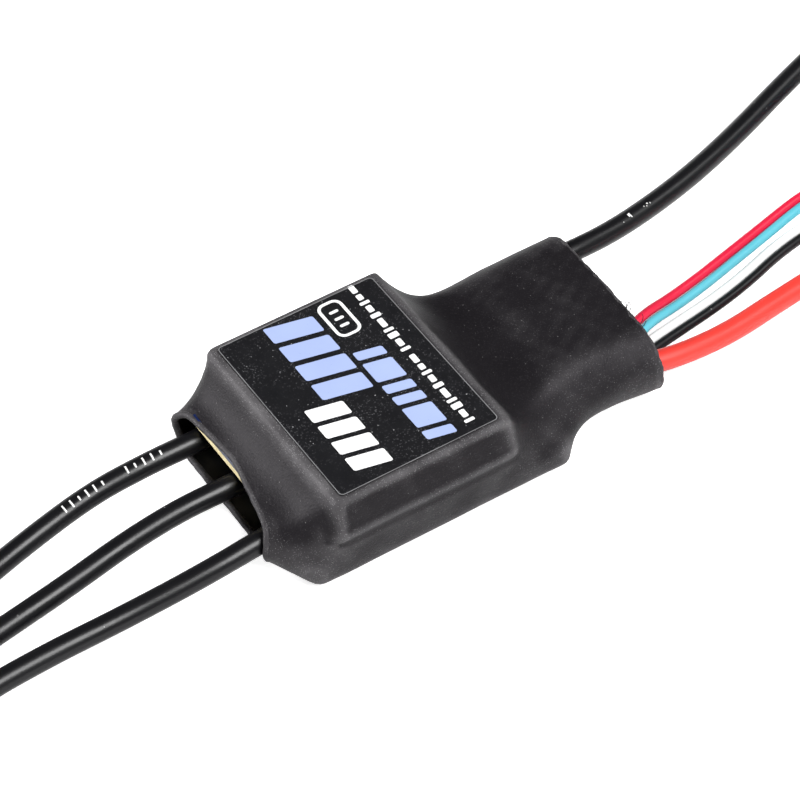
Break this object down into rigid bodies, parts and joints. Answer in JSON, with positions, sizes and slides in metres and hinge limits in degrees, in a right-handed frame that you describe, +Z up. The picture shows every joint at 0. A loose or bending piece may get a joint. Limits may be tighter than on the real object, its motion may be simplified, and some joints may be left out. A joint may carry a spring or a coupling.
{
  "type": "electronic speed controller",
  "caption": "Motor speed controller: circuit boards and a heat sink in a black heat-shrink sleeve, with thick motor and battery leads and thin signal wires.",
  "frame": {"origin": "centre of the sleeve's footprint, on the surface that it rests on", "axes": "+X from the motor leads to the battery leads, +Y to the left of that, +Z up"},
  "size_m": [0.243, 0.0564, 0.0141],
  "materials": {
    "sleeve": "satin heat-shrink tube, worn edges",
    "label": "printed matt sticker",
    "heat_sink_metal": "milled",
    "thermal_pad": "soft",
    "board": "glass-fibre board with dark blue solder mask",
    "chip": "moulded package",
    "chip_can": "satin",
    "ferrite": "sintered",
    "lamp": "clear",
    "shunt": "satin",
    "ceramic_part": "tan with tinned ends",
    "resistor_part": "black with tinned ends",
    "gilt_pin": "plated",
    "can_metal": "drawn",
    "can_skin": "shrunk film",
    "bung": "matt",
    "tin": "solder-coated copper",
    "black_silicone": "satin silicone",
    "red_silicone": "satin silicone",
    "crimson_wire": "satin",
    "cyan_wire": "satin",
    "white_wire": "satin",
    "black_wire": "satin",
    "plug_plastic": "moulded nylon"
  },
  "bodies": {
    "root": {"heat_shrink_sleeve": "sleeve", "label": "label", "heat_sink": "heat_sink_metal", "thermal_pad": "thermal_pad", "power_board": "board", "control_board": "board", "high_side_transistors": "chip", "low_side_transistors": "chip", "microcontroller": "chip", "gate_drivers": "chip", "crystal": "chip_can", "supply_regulator": "chip", "supply_inductor": "ferrite", "status_light": "lamp", "current_shunts": "shunt", "ceramic_capacitors": "ceramic_part", "chip_resistors": "resistor_part", "board_pins": "gilt_pin", "capacitor_cans": "can_metal", "capacitor_skins": "can_skin", "capacitor_bungs": "bung", "capacitor_leads": "tin", "capacitor_board": "board", "motor_lead_far": "black_silicone", "motor_lead_middle": "black_silicone", "motor_lead_near": "black_silicone", "motor_lead_tips": "tin", "motor_lead_ends": "tin", "motor_solder_joints": "tin", "battery_lead_black": "black_silicone", "battery_lead_red": "red_silicone", "battery_lead_tips": "tin", "battery_lead_ends": "tin", "battery_solder_joints": "tin", "signal_wire_crimson": "crimson_wire", "signal_wire_cyan": "cyan_wire", "signal_wire_white": "white_wire", "signal_wire_black": "black_wire", "signal_wire_ends": "tin", "signal_solder_joints": "tin", "data_wire_coil": "cyan_wire", "throttle_wire_coil": "white_wire", "data_plug_housing": "plug_plastic", "throttle_plug_housing": "plug_plastic", "data_plug_contacts": "gilt_pin", "throttle_plug_contacts": "gilt_pin"}
  },
  "joints": []
}
